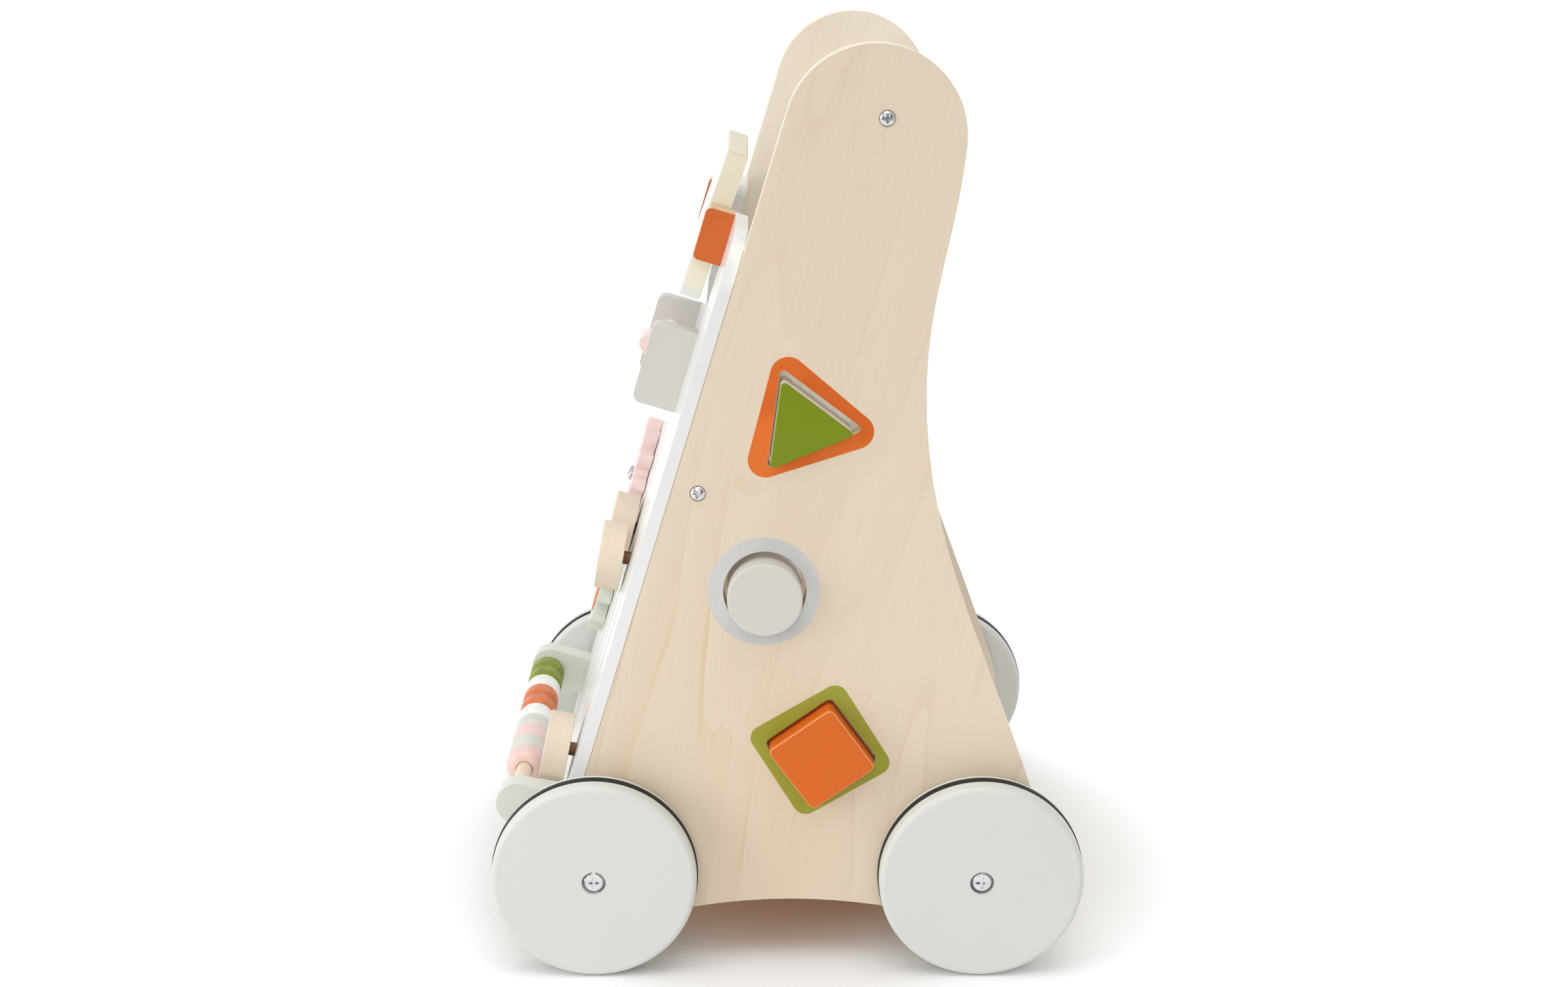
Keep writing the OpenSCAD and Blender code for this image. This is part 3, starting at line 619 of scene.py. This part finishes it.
screwHoles = {  # y and z of the holes through the side panels
    "handle": Vector((0.0432, 0.4297)), "rail": onFront(0, 157.2, -12.5).yz,
    "frontWheel": Vector((-hub["y"], hub["z"])), "rearWheel": Vector((hub["y"], hub["z"])),
}
sidePanel = {"edge": "plyEdge", "bevel": 0.0018, "leave": screwHoles.values()}
beam = {"finish": "rail", "bevel": 0.0015}
body = {
    "left_side_panel": {"finish": "plyPrinted", "rimFinish": "plyPrinted", **sidePanel},
    # the far panel's veneer is lighter: painted light for its shaded inner face
    "right_side_panel": {"finish": "plyPlainPaintedLight", "rimFinish": "plyPlainPaintedLight", **sidePanel},
    "toy_panel": {"finish": "white", "bevel": 0.0016, "frontOnly": True},
    "handle_bar": {"finish": "rail"},
    "cross_rail": beam,
    "front_axle_beam": beam,
    "rear_axle_beam": beam,
    "base_board": {"finish": "board", "bevel": 0.001},
}
for node, settings in body.items():
    dress(node, **settings)
print("body dressed:", len(body), "pieces")

rolling = {"wheel": "wheel", "tyre": "rubber"}
for part, finish in rolling.items():
    for place in ("front_left", "front_right", "rear_left", "rear_right"):
        dress(part + "_" + place, finish)
print("wheels dressed")

post = {"finish": "postOrange", "edge": "postEdge", "top": "postTop", "bevel": 0.0008}
plate = {"finish": "grey", "bevel": 0.0012}
gear = {"bevel": 0.0006, "segments": 2, "nudge": {"low": 7.4, "high": 7.6, "move": -0.6}}
# the brackets get the lighter grey: painted light for their place in the wheel's shade
bracket = {"finish": "bracketGreyPaintedLight", "bevel": 0.0012}
toys = {
    # the triangle block's sides are bare wood, paler as painted light for the shaded hole
    "triangle_block": {"finish": "green", "edge": "bareSidePaintedLight", "rimFinish": "green"},
    "round_block": {"finish": "blockGrey"},
    # the rims of the square block are paler: partly worn paint, partly a painted highlight
    "square_block": {"finish": "orange", "rimFinish": "wearAndHighlightOrange"},
    "flip_post_left": post,
    "flip_post_right": post,
    "flip_axle": {"finish": "rod"},
    "flip_board": {"finish": "flip", "bevel": 0.001},
    "roller_plate_left": plate,
    "roller_plate_right": plate,
    "roller_axle": {"finish": "rod"},
    "lobed_roller": {"finish": "pink", "bevel": 0.0008},
    "pink_gear": {"finish": "pink", **gear},
    "green_gear": {"finish": "paleGreen", **gear},
    "gear_disc": {"finish": "orange", "bevel": 0.0002, "nudge": {"low": 16.4, "high": 16.6, "move": -1.0}},
    "knob_inner": {"finish": "knob"},
    "knob_middle": {"finish": "knob"},
    "knob_outer": {"finish": "knob"},
    "knob_stem_inner": {"finish": "stem"},
    "knob_stem_middle": {"finish": "stem"},
    "knob_stem_outer": {"finish": "stem"},
    "abacus_bracket_left": bracket,
    "abacus_bracket_right": bracket,
    "abacus_rod": {"finish": "rod"},
}
for node, settings in toys.items():
    dress(node, **settings)
beadRow = ["Green", "Green", "White", "Orange", "Orange", "White", "Grey", "Pink", "Grey", "Pink"]
for number, colour in enumerate(beadRow, 1):
    dress("bead_" + str(number), "bead" + colour)
print("toys dressed:", len(toys) + len(beadRow), "pieces")

metal = ["wheel_bolts", "wheel_spacers", "panel_screws", "toy_screws", "base_screws", "gear_screws", "gear_washers"]
for node in metal:
    dress(node, "steel", sharp=30)
print("fixings dressed")


# stage

studio = {  # light that reaches the object, light that is seen, and what is left of both on the dark side
    "light": 0.69, "seen": 1.0, "room": 0.15, "roomStep": (0.35, 0.75), "roomTop": (0.25, 0.6),
}
ground = {  # steps over the square of the distance from the middle, and for the room over x
    "shader": {"Roughness": 0.9, "Specular_IOR_Level": 0.0, "Emission_Strength": 1.0},
    "size": 60, "tone": (0.95, 0.95, 0.95, 1), "dark": (0, 0, 0, 1), "roomStep": (0.8, 1.6),
    # a warm floor tone under the walker and where it fades out: painted light for the bounce off the wood
    "paintedBounce": (0.93, 0.7, 0.58, 1), "paintedBounceStep": (0.005, 0.018),
    "glow": 0.45, "glowStep": (0.022, 0.08), "farGlow": 0.4, "farStep": (0.6, 6.0),
}


def roomLight(f, behind):  # the side behind the photo's camera is dark, but any camera sees it white
    return 1 - behind * (1 - f.ray("Camera")) * (1 - studio["room"])


def addFloor():  # the floor glows white away from the walker, and under the walker its colour is warmed: painted light for the light that the wood throws on it
    v = ground
    bpy.ops.object.select_all(action="DESELECT")
    bpy.ops.mesh.primitive_plane_add(size=v["size"])
    floor = bpy.context.object
    floor.name = "floor"
    f = Finish("floorWhite", **v["shader"])
    x, y = f.axes()[:2]
    around = x * x + y * y
    room = roomLight(f, x.step(*v["roomStep"]))
    tone = f.mix(around.step(*v["paintedBounceStep"]), v["paintedBounce"], v["tone"])
    f.set("Base Color", f.mix(room, v["dark"], tone))
    glow = around.step(*v["farStep"]) * v["farGlow"] + around.step(*v["glowStep"]) * v["glow"]
    f.set("Emission Color", f.seen() * room * glow)
    floor.data.materials.append(f.material)


def addSky():
    world = bpy.data.worlds.new("studio")
    bpy.context.scene.world = world
    world.use_nodes = True
    f = Finish("studio", world.node_tree)
    x, z = f.axes()[::2]
    room = roomLight(f, x.step(*studio["roomStep"]) * (1 - z.step(*studio["roomTop"])))
    level = f.seen() * (studio["seen"] - studio["light"]) + studio["light"]
    f.feed(world.node_tree.nodes["Background"].inputs["Color"], room * level)


addFloor()
addSky()
addLamps()
addCamera()
bpy.context.scene.view_settings.view_transform = "Standard"
print("stage set")
